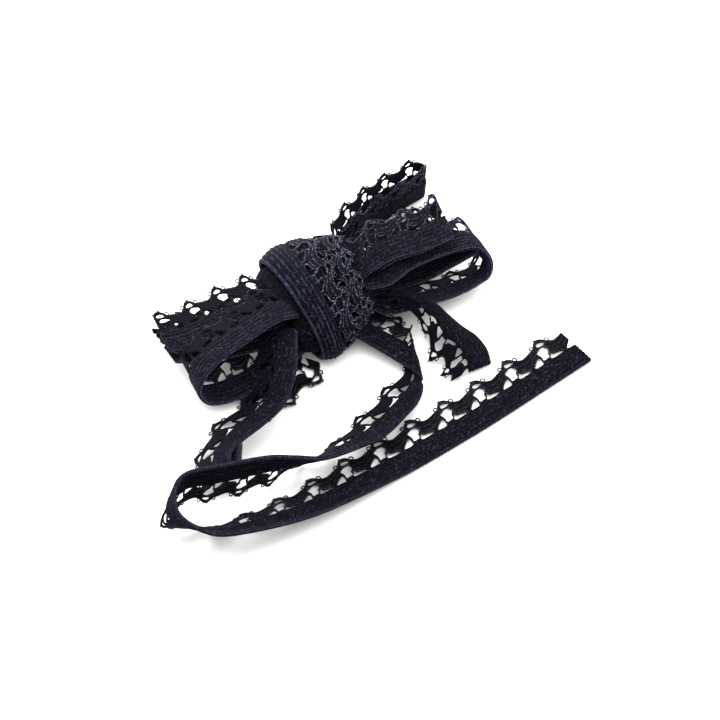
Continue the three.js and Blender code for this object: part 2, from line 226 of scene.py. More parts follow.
RIGHT_INNER_LOOP = (
    Row(1.8, 14.8, 8, 114, 0),
    Row(7, 16.4, 9.8, 111, -4),
    Row(13, 19.8, 10.3, 108, -7),
    Row(20, 23.2, 10.6, 107, -8),
    Row(25.6, 24.9, 10.7, 107, -12, 0.7),
    Row(27.4, 24.9, 9.8, 107, -12, 0.66),
    Row(24.4, 23.6, 8.4, 107, -10, 0.72),
    Row(20.5, 22, 6.9, 107, -8),
    Row(16.6, 20.6, 5.2, 108, -6),
    Row(9.6, 18.6, 4.2, 111, -4),
    Row(1.8, 15.2, 5.4, 114, -4),
)

RIGHT_BACK_LOOP = (
    Row(-1.6, 23.4, 5, 118, 22, 0.72),
    Row(-0.6, 30.2, 2.2, 128, 72, 0.86),
    Row(3.6, 40, 1, 130, 94, 0.96),
    Row(8.5, 45.3, 0.7, 130, 99),
    Row(13, 48.8, 0.7, 130, 98),
    Row(14.8, 50.4, 0.7, 130, 96, 1.04),
    Row(13, 51.3, 0.7, 130, 95, 1.08),
    Row(8, 48.4, 0.7, 130, 95, 1.07),
    Row(2, 43, 1.2, 130, 92, 1.03),
    Row(-2.6, 33.6, 2.6, 128, 74, 0.88),
    Row(-3.4, 24.4, 6.4, 118, 22, 0.6),
)

RIGHT_UNDER_TURN = (
    Row(1.6, 20.5, 5, 114, -6, 0.66),
    Row(6, 24.6, 3.4, 113, -3, 0.74),
    Row(11, 28.4, 2.4, 112, 0, 1.08),
    Row(15, 31, 2, 110, 0, 1.16),
    Row(18.6, 33.4, 1.6, 106, 0, 1.1),
)

LEFT_BACK_LOOP = (
    Row(-15.9, 7.5, 9.2, 122, 0, 1.04),
    Row(-21.5, 5.4, 10.6, 119, 1, 1.02),
    Row(-28, 1.8, 10.8, 118, 1),
    Row(-35, -2.2, 10.4, 117, 1, 0.98),
    Row(-41.6, -5, 9.9, 114, 1, 0.97),
    Row(-44.4, -4, 9, 112, 1, 0.9),
    Row(-41.8, -4.6, 8.1, 114, 1, 0.93),
    Row(-35, -1.8, 8.2, 117, 0, 0.92),
    Row(-28, 2, 8.3, 118, 0, 0.93),
    Row(-15.9, 7.5, 7.6, 122, 0),
)

LEFT_MIDDLE_LOOP = (
    Row(-15.4, 6.7, 6.2, 122, 0),
    Row(-22, 3.6, 6.4, 120, 0),
    Row(-30, -0.6, 6.6, 119, 1),
    Row(-38, -4.4, 6.6, 119, 1),
    Row(-43, -5.2, 5.6, 121, 1, 0.85),
    Row(-38, -4.6, 4.8, 119, 0),
    Row(-30, -3, 4.5, 119, 0),
    Row(-22, 0, 4.3, 120, 0),
    Row(-15.4, 3.6, 4.3, 122, 0),
)

LEFT_FRONT_LOOP = (
    Row(-14.3, 5, 9.8, 122, 2),
    Row(-18, 1.8, 12.4, 124, -4),
    Row(-21.7, -1.1, 12.8, 127, -8),
    Row(-26.4, -5.6, 12.9, 128, -9),
    Row(-31.2, -9.6, 12.7, 128, -10),
    Row(-34.6, -13.2, 12, 124, -10),
    Row(-36.2, -15.4, 10.8, 118, -8),
    Row(-37, -16, 8.8, 114, -6),
    Row(-37, -16, 6.4, 112, -4),
    Row(-35.6, -16.2, 4, 112, -3, 1.04),
    Row(-33.2, -15.9, 2.8, 114, -2, 1.1),
    Row(-28, -13.8, 2.5, 118, -1, 1.12),
    Row(-20, -8.2, 2.5, 122, 0, 1.08),
    Row(-11.9, 0.8, 3.4, 122, 0),
)


@dataclass(frozen=True)
class Section:
    """A section of the waist. across and up are half sizes, and turn the plan angle of across."""

    x: float
    y: float
    z: float
    across: float
    up: float
    turn: float


WAIST = (
    Section(-18.6, 8.2, 6.7, 11.2, 3.6, -57.7),
    Section(-17.2, 9.1, 6.7, 12.4, 4.3, -57.7),
    Section(-16.2, 9.7, 6.7, 12.6, 4.4, -57.7),
    Section(-2.1, 20.0, 6.7, 10.6, 4.4, -65.7),
    Section(-1.2, 20.4, 6.7, 10.4, 4.3, -65.7),
    Section(0.6, 21.2, 6.7, 9.4, 3.6, -65.7),
)
WAIST_TILT = math.radians(12)

# The wrap: its length along the waist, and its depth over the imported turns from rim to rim.
WRAP_SPAN = 17.5
WRAP_ALONG = (0.0, 0.1, 0.2, 0.46, 0.6, 0.74, 0.88, 1.0)
WRAP_DEPTH = (2.0, 3.0, 3.7, 4.0, 3.6, 3.0, 2.3, 1.6)


def to_frame(points: Array) -> Array:
    """Layout millimetres as metres in the row's frame.

    Args:
        points: An array whose last axis is x, y, z in the layout.

    Returns:
        The same points in metres, about the middle of the footprint.
    """
    return (points - np.array([*LAYOUT_CENTRE, 0.0])) * MM


def unit(vectors: Array) -> Array:
    """The vectors at length 1."""
    return vectors / np.maximum(np.linalg.norm(vectors, axis=-1, keepdims=True), TINY)


def run_along(line: Array) -> Array:
    """How far along a line each of its points comes."""
    steps = np.linalg.norm(np.diff(line, axis=0), axis=1)
    return np.concatenate([[0.0], np.cumsum(steps)])


def spline(near: Sequence[Array], f: Array) -> Array:
    """A smooth curve between the middle two of four values.

    Args:
        near: The four values, in order along the curve.
        f: How far from the second to the third, from 0 to 1.

    Returns:
        The curve's values there.
    """
    a, b, c, d = near
    return (
        0.5 * (2 * b + (c - a) * f + (2 * a - 5 * b + 4 * c - d) * f**2)
        + 0.5 * (3 * b - 3 * c + d - a) * f**3
    )


def waist_axes(turn: Array) -> tuple[Array, Array]:
    """Which way the front and the top of the waist face.

    Args:
        turn: Plan angles of the front, in radians.

    Returns:
        The directions to the front and up, both leaned by the waist's tilt.
    """
    level, steep = math.cos(WAIST_TILT), math.sin(WAIST_TILT)
    cos, sin = np.cos(turn), np.sin(turn)
    front = np.stack([cos * level, sin * level, np.full_like(turn, -steep)], axis=-1)
    up = np.stack([cos * steep, sin * steep, np.full_like(turn, level)], axis=-1)
    return front, up


class Route:
    """The way a ribbon runs, worked out from its rows."""

    STEPS = 40
    LOWEST = 0.02

    def __init__(self, rows: Sequence[Row]) -> None:
        """Samples the rows on a smooth curve.

        Args:
            rows: The places that the ribbon passes.
        """
        t = np.linspace(0, len(rows) - 1, (len(rows) - 1) * self.STEPS + 1)
        x, y, z, turn, dip, bow, share = (
            self._smooth(rows, name, t) for name in ("x", "y", "z", "turn", "dip", "bow", "share")
        )
        turn, dip = np.radians(turn), np.radians(dip)
        self.edge = np.stack([x, y, z], axis=-1)
        self.over = np.stack(
            [np.cos(dip) * np.cos(turn), np.cos(dip) * np.sin(turn), np.sin(dip)], axis=-1
        )
        self.bow = bow
        self.shown = WIDTH * share - 8 * bow**2 / (3 * WIDTH)
        middle = self.edge + self.over * self.shown[:, None] / 2
        self.normal = unit(np.cross(np.gradient(middle, axis=0), self.over))
        self.run = run_along(middle)
        self.length = float(self.run[-1])

    @staticmethod
    def _smooth(rows: Sequence[Row], name: str, t: Array) -> Array:
        """One column of the rows, smoothed.

        Args:
            rows: The rows.
            name: The column's name.
            t: Places among the rows, where row i lies at t = i.

        Returns:
            The column's values there.
        """
        values = np.array([getattr(row, name) for row in rows], float)
        last = len(rows) - 1
        i = np.minimum(np.floor(t).astype(int), last - 1)
        return spline([values[np.clip(i + k, 0, last)] for k in (-1, 0, 1, 2)], t - i)

    def _at(self, values: Array, u: Array) -> Array:
        """The sampled values between their samples.

        Args:
            values: One number or one vector for each sample.
            u: Distances along the ribbon.

        Returns:
            The values at those distances.
        """
        if values.ndim == 1:
            return np.interp(u, self.run, values)
        return np.stack([np.interp(u, self.run, column) for column in values.T], axis=-1)

    def place(self, u: Array, v: Array, h: Array) -> Array:
        """Points of the ribbon in the layout.

        Args:
            u: Distances along the ribbon.
            v: Distances from its plain edge, of its flat width.
            h: Heights off its middle surface.

        Returns:
            An array of x, y, z, never below the table.
        """
        s = v / WIDTH
        lift = 4 * self._at(self.bow, u) * s * (1 - s)
        normal = unit(self._at(self.normal, u))
        over = unit(self._at(self.over, u))
        points = (
            self._at(self.edge, u)
            + over * (s * self._at(self.shown, u))[:, None]
            + normal * (lift + h)[:, None]
        )
        points[:, 2] = np.maximum(points[:, 2], self.LOWEST)
        return points


class WaistTurn:
    """The way one turn of the wrap runs round the waist."""

    SAMPLES = 241
    LOWEST = 0.05
    MIDDLE_DEPTH = 2.6
    PAST_RIM = 1.12
    BARE_FROM = 0.70
    BARE_FADE = 0.06

    def __init__(self, start: float, sink: float, lift: float) -> None:
        """Works out how far round the waist each distance along the turn comes.

        Args:
            start: Where its plain edge lies along the waist, from 0 at the left rim to 1.
            sink: How far it lies under the wrap's outside, where other turns cover it.
            lift: How far it lies under the wrap's outside, where it is bare.
        """
        self.start = start
        self.sink = sink
        self.lift = lift
        self.angles = np.linspace(-math.pi / 2, 1.5 * math.pi, self.SAMPLES)
        halfway = np.full_like(self.angles, 0.5)
        depth = np.full_like(self.angles, self.MIDDLE_DEPTH)
        self.run = run_along(self._points(self.angles, halfway, depth))
        self.length = float(self.run[-1])

    def _points(self, angle: Array, along: Array, depth: Array) -> Array:
        """Points round the waist.

        Args:
            angle: Angles round it, from its front over its top.
            along: Places along it, from 0 at the left rim to 1 at the right.
            depth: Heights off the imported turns.

        Returns:
            An array of x, y, z, never below the table.
        """
        left, right = WAIST[2], WAIST[3]

        def between(name: str) -> Array:
            """A measure of the waist, between those at its rims."""
            return getattr(left, name) * (1 - along) + getattr(right, name) * along

        centre = np.stack([between("x"), between("y"), between("z")], axis=-1)
        front, up = waist_axes(np.radians(between("turn")))
        wide = (between("across") + depth) * np.cos(angle)
        high = (between("up") + depth) * np.sin(angle)
        points = centre + front * wide[:, None] + up * high[:, None]
        points[:, 2] = np.maximum(points[:, 2], self.LOWEST)
        return points

    def place(self, u: Array, v: Array, h: Array) -> Array:
        """Points of the turn in the layout.

        Args:
            u: Distances round the turn.
            v: Distances from its plain edge.
            h: Heights off its middle surface.

        Returns:
            An array of x, y, z, never below the table.
        """
        along = np.clip(self.start + v / WRAP_SPAN, 0.0, self.PAST_RIM)
        outside = np.interp(along, WRAP_ALONG, WRAP_DEPTH)
        bare = np.clip((along - self.BARE_FROM) / self.BARE_FADE, 0.0, 1.0)
        under = self.sink * (1 - bare) + self.lift * bare
        angle = np.interp(u, self.run, self.angles)
        return self._points(angle, along, outside - under + h)


def smooth_line(points: Sequence[Point], step: float, closed: bool) -> Array:
    """A smooth line through charted points.

    Args:
        points: The charted points.
        step: The spacing of the result.
        closed: Whether the line comes back to its start.

    Returns:
        Points on the line, without the repeated start of a closed one.
    """
    p = np.array(points, float)
    n = len(p)
    f = np.linspace(0, 1, 12, endpoint=False)[:, None]
    dense = []
    for i in range(n if closed else n - 1):
        k = [(i + j) % n if closed else min(max(i + j, 0), n - 1) for j in (-1, 0, 1, 2)]
        dense.append(spline(p[k], f))
    line = np.concatenate([*dense, p[:1] if closed else p[-1:]])
    run = run_along(line)
    at = np.linspace(0, run[-1], max(4, round(run[-1] / step)) + 1)
    spaced = np.stack([np.interp(at, run, line[:, k]) for k in (0, 1)], axis=-1)
    return spaced[:-1] if closed else spaced


def right_of(line: Array, closed: bool) -> Array:
    """Which way lies to the right of a charted line.

    Args:
        line: Its points.
        closed: Whether it comes back to its start.

    Returns:
        A direction at each point.
    """
    if closed:
        ahead, behind = np.roll(line, -1, axis=0), np.roll(line, 1, axis=0)
    else:
        ahead = np.concatenate([line[1:], [2 * line[-1] - line[-2]]])
        behind = np.concatenate([[2 * line[0] - line[1]], line[:-1]])
    travel = unit(ahead - behind)
    return np.stack([travel[:, 1], -travel[:, 0]], axis=-1)


def grown(loop: Array, by: float) -> Array:
    """A closed line moved outwards.

    Args:
        loop: Points round the line, clockwise as charted or not.
        by: How far each point moves.

    Returns:
        The moved points.
    """
    ahead = np.roll(loop, -1, axis=0)
    twice_area = np.sum(loop[:, 0] * ahead[:, 1] - ahead[:, 0] * loop[:, 1])
    return loop + right_of(loop, closed=True) * by * np.sign(twice_area)


def inside(points: Array, polygon: Array) -> Array:
    """Which of the points lie inside a polygon.

    Args:
        points: Charted points.
        polygon: The polygon's corners in order.

    Returns:
        True or False for each point.
    """
    x, y = points[:, 0, None], points[:, 1, None]
    a, b = polygon, np.roll(polygon, -1, axis=0)
    crosses = (a[:, 1] > y) != (b[:, 1] > y)
    rise = np.where(np.abs(b[:, 1] - a[:, 1]) < TINY, TINY, b[:, 1] - a[:, 1])
    at = a[:, 0] + (y - a[:, 1]) * (b[:, 0] - a[:, 0]) / rise
    return (crosses & (x < at)).sum(axis=1) % 2 == 1


@dataclass(frozen=True)
class Strand:
    """A raised yarn of the lace: its line, its half thickness and how far it stands up."""

    line: Array
    radius: float
    lift: float
    closed: bool


@dataclass
class LaceRepeat:
    """One repeat of the elastic, charted flat: u along it and v from its plain edge.

    star, heart, corner and oval are its holes and outline its picot edge. rings are the small
    picots, each as its middle and radius. veins are the cords that run between the holes.
    """

    half: float = REPEAT / 2
    columns: int = 18
    star: Chart = (
        (1.4, 10.0), (1.8, 9.2), (1.2, 8.4), (0.5, 7.0), (-0.5, 6.9), (-1.2, 6.8), (-1.0, 7.8),
        (-1.1, 8.7), (-1.3, 9.4), (-0.4, 9.9), (0.6, 10.2),
    )
    heart: Chart = (
        (-1.6, 7.9), (-1.9, 6.2), (-2.5, 6.0), (-4.3, 6.1), (-3.6, 7.0), (-2.5, 7.8), (-1.9, 8.1),
    )
    corner: Chart = (
        (1.4, 8.0), (1.8, 7.2), (2.9, 6.9), (3.9, 6.7), (4.0, 6.3), (3.6, 6.0), (2.3, 5.9),
        (0.9, 6.1), (0.5, 6.5), (1.0, 7.1), (1.0, 7.8),
    )
    oval: Chart = ((0.4, 11.7), (1.1, 11.8), (2.2, 11.2), (2.0, 10.8), (0.9, 10.7), (0.0, 10.9))
    outline: Chart = (
        (-4.8, 10.1), (-3.6, 10.3), (-2.5, 10.6), (-1.6, 10.8), (-0.7, 11.2), (-0.2, 11.9),
        (0.5, 12.4), (1.3, 12.6), (2.1, 12.2), (2.7, 11.4), (3.3, 10.8), (4.0, 10.3), (4.8, 10.1),
    )
    rings: tuple[tuple[float, float, float], ...] = (
        (-1.2, 11.4, 0.52), (3.3, 11.5, 0.52), (0.8, 12.7, 0.30),
    )
    veins: tuple[Chart, ...] = (
        ((2.2, 9.3), (3.2, 8.9), (4.8, 8.8)),
        ((-4.8, 8.8), (-3.6, 9.1), (-2.4, 9.9), (-1.2, 10.4), (0.2, 10.5), (1.6, 10.4)),
        ((2.0, 8.3), (3.2, 7.7), (4.8, 7.5)),
        ((-4.8, 7.5), (-3.8, 8.0), (-2.8, 8.7), (-1.8, 9.3)),
    )
    hole_step: float = 0.42
    hole_play: float = 0.06
    rim: float = 0.19
    lace_start: float = 6.3
    cloth_step: float = 0.5
    clearance: float = 0.24
    stitches: int = 33
    points: Array = field(init=False)
    triangles: Array = field(init=False)
    strands: list[Strand] = field(init=False)

    def __post_init__(self) -> None:
        """Cuts the repeat into triangles and charts its yarns."""
        self.points, self.triangles = self._cut()
        self.strands = self._chart()

    def _holes(self, by: float) -> list[Array]:
        """The outlines of the holes, moved outwards."""
        charts = (self.star, self.heart, self.corner, self.oval)
        return [grown(smooth_line(chart, self.hole_step, closed=True), by) for chart in charts]

    def _band_rows(self) -> Array:
        """Distances from the plain edge to the crests and valleys of the ribs."""
        return np.concatenate([[0.0], np.arange(CREST, BAND_WIDTH, RIB_SPACING / 2), [BAND_WIDTH]])

    def _cut(self) -> tuple[Array, Array]:
        """The repeat as a flat mesh with its holes left out.

        Returns:
            Its points, and its triangles as rows of three point numbers.
        """
        top = smooth_line(self.outline, 0.4, closed=False)
        side = np.concatenate([self._band_rows(), np.arange(self.lace_start, top[0, 1] - 0.2, 0.6)])
        column = np.linspace(-self.half, self.half, self.columns + 1)
        foot = np.stack([column, np.zeros_like(column)], axis=-1)
        right = np.stack([np.full(len(side) - 1, self.half), side[1:]], axis=-1)
        left = np.stack([np.full(len(side) - 1, -self.half), side[:0:-1]], axis=-1)
        rim = np.concatenate([foot, right, top[::-1], left])
        holes = self._holes(self.hole_play)
        loops = [rim, *holes]
        band = np.array([(u, v) for v in self._band_rows()[1:] for u in column[1:-1]])
        step = self.cloth_step
        lace = np.array(
            [
                (u + step / 2 * (j % 2), v)
                for j, v in enumerate(np.arange(self.lace_start, WIDTH - 0.6, step))
                for u in np.arange(-self.half + 0.35, self.half - 0.4, step)
            ]
        )
        lace = lace[inside(lace, rim)]
        for loop in loops:
            gap = np.linalg.norm(lace[:, None] - loop[None], axis=-1).min(axis=1)
            lace = lace[gap >= self.clearance]
        for hole in holes:
            lace = lace[~inside(lace, hole)]
            band = band[~inside(band, hole)]
        points = np.concatenate([*loops, band, lace])
        edges = []
        first = 0
        for loop in loops:
            n = len(loop)
            edges += [(first + i, first + (i + 1) % n) for i in range(n)]
            first += n
        made = delaunay_2d_cdt([Vector(p) for p in points], edges, [], 0, 1e-5)
        flat = np.array([tuple(p) for p in made[0]], float)
        cut = np.array([face for face in made[2] if len(face) == 3], int)
        middle = flat[cut].mean(axis=1)
        keep = inside(middle, rim)
        for hole in holes:
            keep &= ~inside(middle, hole)
        return flat, cut[keep]

    def _chart(self) -> list[Strand]:
        """The raised yarns of one repeat.

        Returns:
            The rims of the holes, the picot edge, the veins, the small picots and the plain edge.
        """
        strands = [Strand(hole, self.rim, 0.1, True) for hole in self._holes(self.rim)]
        strands.append(Strand(smooth_line(self.outline, 0.42, False), 0.24, 0.05, False))
        strands += [
            Strand(smooth_line(vein, 0.55, False), 0.11, 0.18, False) for vein in self.veins
        ]
        turn = np.linspace(0, 2 * math.pi, 12, endpoint=False)
        for u, v, radius in self.rings:
            ring = np.stack([u + radius * np.cos(turn), v + radius * np.sin(turn)], axis=-1)
            strands.append(Strand(ring, 0.17, 0.0, True))
        stitch = np.linspace(-self.half, self.half, self.stitches)
        zigzag = np.where(np.arange(self.stitches) % 2, -0.14, 0.14)
        strands.append(Strand(np.stack([stitch, zigzag], axis=-1), 0.15, 0.0, False))
        return strands

    @staticmethod
    def half_thickness(v: Array) -> Array:
        """Half the cloth's thickness: thick at the ribs' crests and thin in the lace.

        Args:
            v: Distances from the plain edge.

        Returns:
            Half the thickness there.
        """
        rib = 0.50 + 0.13 * np.cos(2 * math.pi * (v - CREST) / RIB_SPACING)
        rib = np.where(v < 0.2, 0.34, rib)
        lace = np.full_like(v, 0.19)
        blend = np.clip((v - BAND_WIDTH + 0.1) / 0.5, 0, 1)
        return rib * (1 - blend) + lace * blend


@dataclass
class Recipe:
    """The node tree of a material or of the room, with short ways to wire it."""

    holder: Material | bpy.types.World
    last: str = "Principled BSDF"
    shader: bpy.types.Node = field(init=False)

    def __post_init__(self) -> None:
        """Starts an empty surface."""
        self.holder.use_nodes = True
        self.shader = self.holder.node_tree.nodes[self.last]

    def give(self, socket: Socket, value: object) -> None:
        """Feeds a socket.

        Args:
            socket: The socket to feed.
            value: Another socket to link to it, or a constant to set on it.
        """
        if isinstance(value, Socket):
            self.holder.node_tree.links.new(value, socket)
        else:
            socket.default_value = value

    def feed(self, node: bpy.types.Node, **inputs: object) -> bpy.types.Node:
        """Feeds a node's inputs.

        Args:
            node: The node to feed.
            inputs: Sockets or constants, by input name with _ for a space.

        Returns:
            The node.
        """
        for key, value in inputs.items():
            self.give(node.inputs[key.replace("_", " ")], value)
        return node

    def add(self, kind: str, **inputs: object) -> bpy.types.Node:
        """A new node of a kind, with its inputs fed."""
        return self.feed(self.holder.node_tree.nodes.new(f"ShaderNode{kind}"), **inputs)

    def reckon(self, operation: str, *values: object) -> Socket:
        """Works a sum on sockets or numbers.

        Args:
            operation: The kind of sum, as the maths node names it.
            values: What it works on, in order.

        Returns:
            The sum's result.
        """
        node = self.add("Math")
        node.operation = operation
        for socket, value in zip(node.inputs, values):
            self.give(socket, value)
        return node.outputs[0]

    def times(self, *values: object) -> Socket:
        """The product of sockets or numbers."""
        return reduce(lambda product, value: self.reckon("MULTIPLY", product, value), values)

    def wave(self, value: object, period: float) -> Socket:
        """A sine wave over a value, between -1 and 1."""
        return self.reckon("SINE", self.times(value, 2 * math.pi / period))

    def swell(self, wave: object) -> Socket:
        """A wave brought between 0 and 1."""
        return self.reckon("MULTIPLY_ADD", wave, 0.5, 0.5)

    def ramp(self, value: object, span: Point, floor: float = 0.0) -> Socket:
        """A value's rise over a span, from a floor to 1."""
        ramp = self.add("MapRange", Value=value, From_Min=span[0], From_Max=span[1], To_Min=floor)
        return ramp.outputs["Result"]

    def noise(self, place: object, scale: float, detail: float) -> Socket:
        """An even noise over a place."""
        return self.add("TexNoise", Vector=place, Scale=scale, Detail=detail).outputs["Fac"]

    def chart(self) -> tuple[Socket, Socket, Socket]:
        """The place on the flat elastic.

        Returns:
            The place, its distance along the elastic and its distance from the plain edge.
        """
        place = self.add("UVMap")
        place.uv_map = CHART
        split = self.add("SeparateXYZ", Vector=place.outputs["UV"])
        return place.outputs["UV"], split.outputs["X"], split.outputs["Y"]

    def blend(self, factor: object, low: Colour, high: Colour) -> Socket:
        """A colour between two.

        Args:
            factor: How far to the second, from 0 to 1.
            low: The first colour.
            high: The second colour.

        Returns:
            The colour.
        """
        node = self.add("Mix")
        node.data_type = "RGBA"
        return self.feed(node, Factor=factor, A=(*low, 1.0), B=(*high, 1.0)).outputs["Result"]


@dataclass(frozen=True)
class ElasticFinish:
    """Knitted elastic, dyed nearly black, with the light catching its stitches.

    deep is the colour between the stitches and lit the painted highlight on those that catch the
    light. rib is how bright the painted highlight on the ribs' crests is and edge that on the plain
    edge, sheen the light of its fuzz and shine its gloss. Each span is where a noise starts and
    where it is full.
    """

    name: str
    deep: Colour = (0.0008, 0.0008, 0.0017)
    lit: Colour = (0.041, 0.042, 0.082)
    roughness: float = 0.6
    sheen: float = 0.01
    shine: float = 0.012
    rib: float = 0.05
    edge: float = 0.08
    raised: float = 0.8
    stitch_length: float = 0.62
    stitch_row: float = 0.55
    stitch_slant: float = 0.42
    speck_span: Point = (0.51, 0.70)
    crest_span: Point = (0.42, 0.62)
    patch_span: Point = (0.35, 0.65)
    patch_floor: float = 0.25

    def build(self) -> Material:
        """Lays the stitches and the ribs out along the ribbon's own chart, with painted highlights
        on some stitches, on the ribs' crests and along the plain edge.

        Returns:
            The material.
        """
        recipe = Recipe(bpy.data.materials.new(self.name))
        place, along, across = recipe.chart()
        patch = recipe.noise(place, scale=0.45, detail=3.0)
        grain = recipe.noise(place, scale=1.5, detail=2.0)
        slanted = recipe.reckon("MULTIPLY_ADD", along, self.stitch_slant, across)
        rows = recipe.wave(slanted, self.stitch_row)
        stitch = recipe.swell(recipe.times(recipe.wave(along, self.stitch_length), rows))
        band = recipe.reckon("LESS_THAN", across, BAND_WIDTH)
        ribs = recipe.wave(recipe.reckon("ADD", across, 0.02), RIB_SPACING)
        ribbed = recipe.times(recipe.swell(ribs), band)
        # Painted highlight: the stitches where a noise runs high are lightened as if catching the
        # light.
        chosen = recipe.ramp(grain, self.speck_span)
        stitch_glint = recipe.times(recipe.reckon("POWER", stitch, 2.5), chosen)
        # Painted highlight along the ribs' crests, as thin lines broken up by a noise.
        drawn = recipe.add("CombineXYZ", X=recipe.times(along, 0.5), Y=across)
        broken = recipe.noise(drawn.outputs["Vector"], scale=1.3, detail=3.0)
        lines = recipe.ramp(broken, self.crest_span)
        crest = recipe.times(recipe.reckon("POWER", ribbed, 6.0), self.rib, lines)
        # All the painted highlights together, patchy by a noise and dimmer in the lace than on the
        # band.
        painted_highlights = recipe.times(
            recipe.reckon("ADD", stitch_glint, crest),
            recipe.ramp(patch, self.patch_span, self.patch_floor),
            recipe.reckon("MULTIPLY_ADD", band, 0.8, 0.6),
        )
        # Painted highlight along the plain edge.
        selvage_highlight = recipe.times(recipe.reckon("LESS_THAN", across, 0.3), self.edge)
        factor = recipe.reckon("MINIMUM", recipe.reckon("ADD", painted_highlights, selvage_highlight), 1.0)
        height = recipe.reckon("MULTIPLY_ADD", ribbed, 0.4, stitch)
        bump = recipe.add("Bump", Strength=self.raised, Distance=0.0002, Height=height)
        recipe.feed(
            recipe.shader,
            Base_Color=recipe.blend(factor, self.deep, self.lit),
            Roughness=recipe.reckon("MULTIPLY_ADD", grain, 0.2, self.roughness - 0.1),
            Sheen_Weight=self.sheen,
            Sheen_Roughness=0.4,
            Sheen_Tint=(0.6, 0.62, 1.0, 1.0),
            Specular_IOR_Level=self.shine,
            Normal=bump.outputs["Normal"],
        )
        return recipe.holder


@dataclass(frozen=True)
class YarnFinish:
    """The cord that outlines the lace and whips the plain edge, with the twist of its thread.

    deep is the colour between the strands of its twist and lit a painted highlight on them, and
    edge how bright the painted highlight on the plain edge's stitches is, one to each
    stitch_length.
    """

    name: str
    deep: Colour = (0.0009, 0.0009, 0.0014)
    lit: Colour = (0.032, 0.032, 0.050)
    roughness: float = 0.5
    edge: float = 0.25
    stitch_length: float = 0.6
    twist_span: Point = (0.45, 0.75)

    def build(self) -> Material:
        """Gives the yarn a fine twist in its surface, with painted highlights on the twist and on
        the plain edge's stitches.

        Returns:
            The material.
        """
        recipe = Recipe(bpy.data.materials.new(self.name))
        own_place = recipe.add("TexCoord").outputs["Object"]
        twist = recipe.noise(own_place, scale=2200.0, detail=2.0)
        _, along, across = recipe.chart()
        # Painted highlight on the plain edge's stitches, one to each stitch_length.
        selvage_highlight = recipe.reckon("LESS_THAN", across, 0.4)
        edge_highlight = recipe.swell(recipe.wave(along, self.stitch_length))
        edge_highlight = recipe.times(edge_highlight, selvage_highlight, self.edge)
        # Painted highlight on the twist of the thread, together with that on the plain edge.
        cord_highlights = recipe.reckon("ADD", recipe.ramp(twist, self.twist_span), edge_highlight)
        factor = recipe.reckon("MINIMUM", cord_highlights, 1.0)
        bump = recipe.add("Bump", Strength=0.5, Distance=0.00008, Height=twist)
        recipe.feed(
            recipe.shader,
            Base_Color=recipe.blend(factor, self.deep, self.lit),
            Roughness=self.roughness,
            Sheen_Weight=0.02,
            Sheen_Roughness=0.4,
            Specular_IOR_Level=0.03,
            Normal=bump.outputs["Normal"],
        )
        return recipe.holder


def put_down(name: str, data: bpy.types.ID) -> bpy.types.Object:
    """A new object in the scene.

    Args:
        name: The object's name.
        data: Its mesh, camera or light.

    Returns:
        The object.
    """
    thing = bpy.data.objects.new(name, data)
    bpy.context.scene.collection.objects.link(thing)
    return thing


def mesh_piece(name: str, parts: MeshParts, material: Material) -> bpy.types.Object:
    """A smooth mesh as a piece of the object, in the row's frame.

    Args:
        name: The piece's name.
        parts: Its points in metres, its faces, and each point's place on the flat elastic.
        material: Its finish.

    Returns:
        The piece, riding on the one body.
    """
    points, faces, chart = parts
    mesh = bpy.data.meshes.new(name)
    mesh.from_pydata(points.tolist(), [], faces)
    mesh.update()
    mesh.polygons.foreach_set("use_smooth", [True] * len(mesh.polygons))
    mesh.materials.append(material)
    layer = mesh.uv_layers.new(name=CHART)
    corner = np.zeros(len(mesh.loops), np.int32)
    mesh.loops.foreach_get("vertex_index", corner)
    layer.data.foreach_set("uv", chart[corner].astype(np.float32).ravel())
    piece = put_down(name, mesh)
    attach(piece, "root")
    log.info("%s: %d faces", name, len(faces))
    return piece


def renumber(faces: Array) -> tuple[Array, Array]:
    """Drops the points that no face uses.

    Args:
        faces: Rows of point numbers.

    Returns:
        The numbers of the points to keep, and the faces counted over those alone.
    """
    used, faces_left = np.unique(faces, return_inverse=True)
    return used, faces_left.reshape(faces.shape)


@dataclass
class Workshop:
    """What every length of the elastic is made with."""

    repeat: LaceRepeat = field(default_factory=LaceRepeat)
    dyes: dict[Slot, tuple[Material, Material]] = field(default_factory=dict)

    def dye(self, slot: Slot, cloth: ElasticFinish, yarn: YarnFinish) -> None:
        """Makes the two materials of a slot."""
        self.dyes[slot] = (cloth.build(), yarn.build())


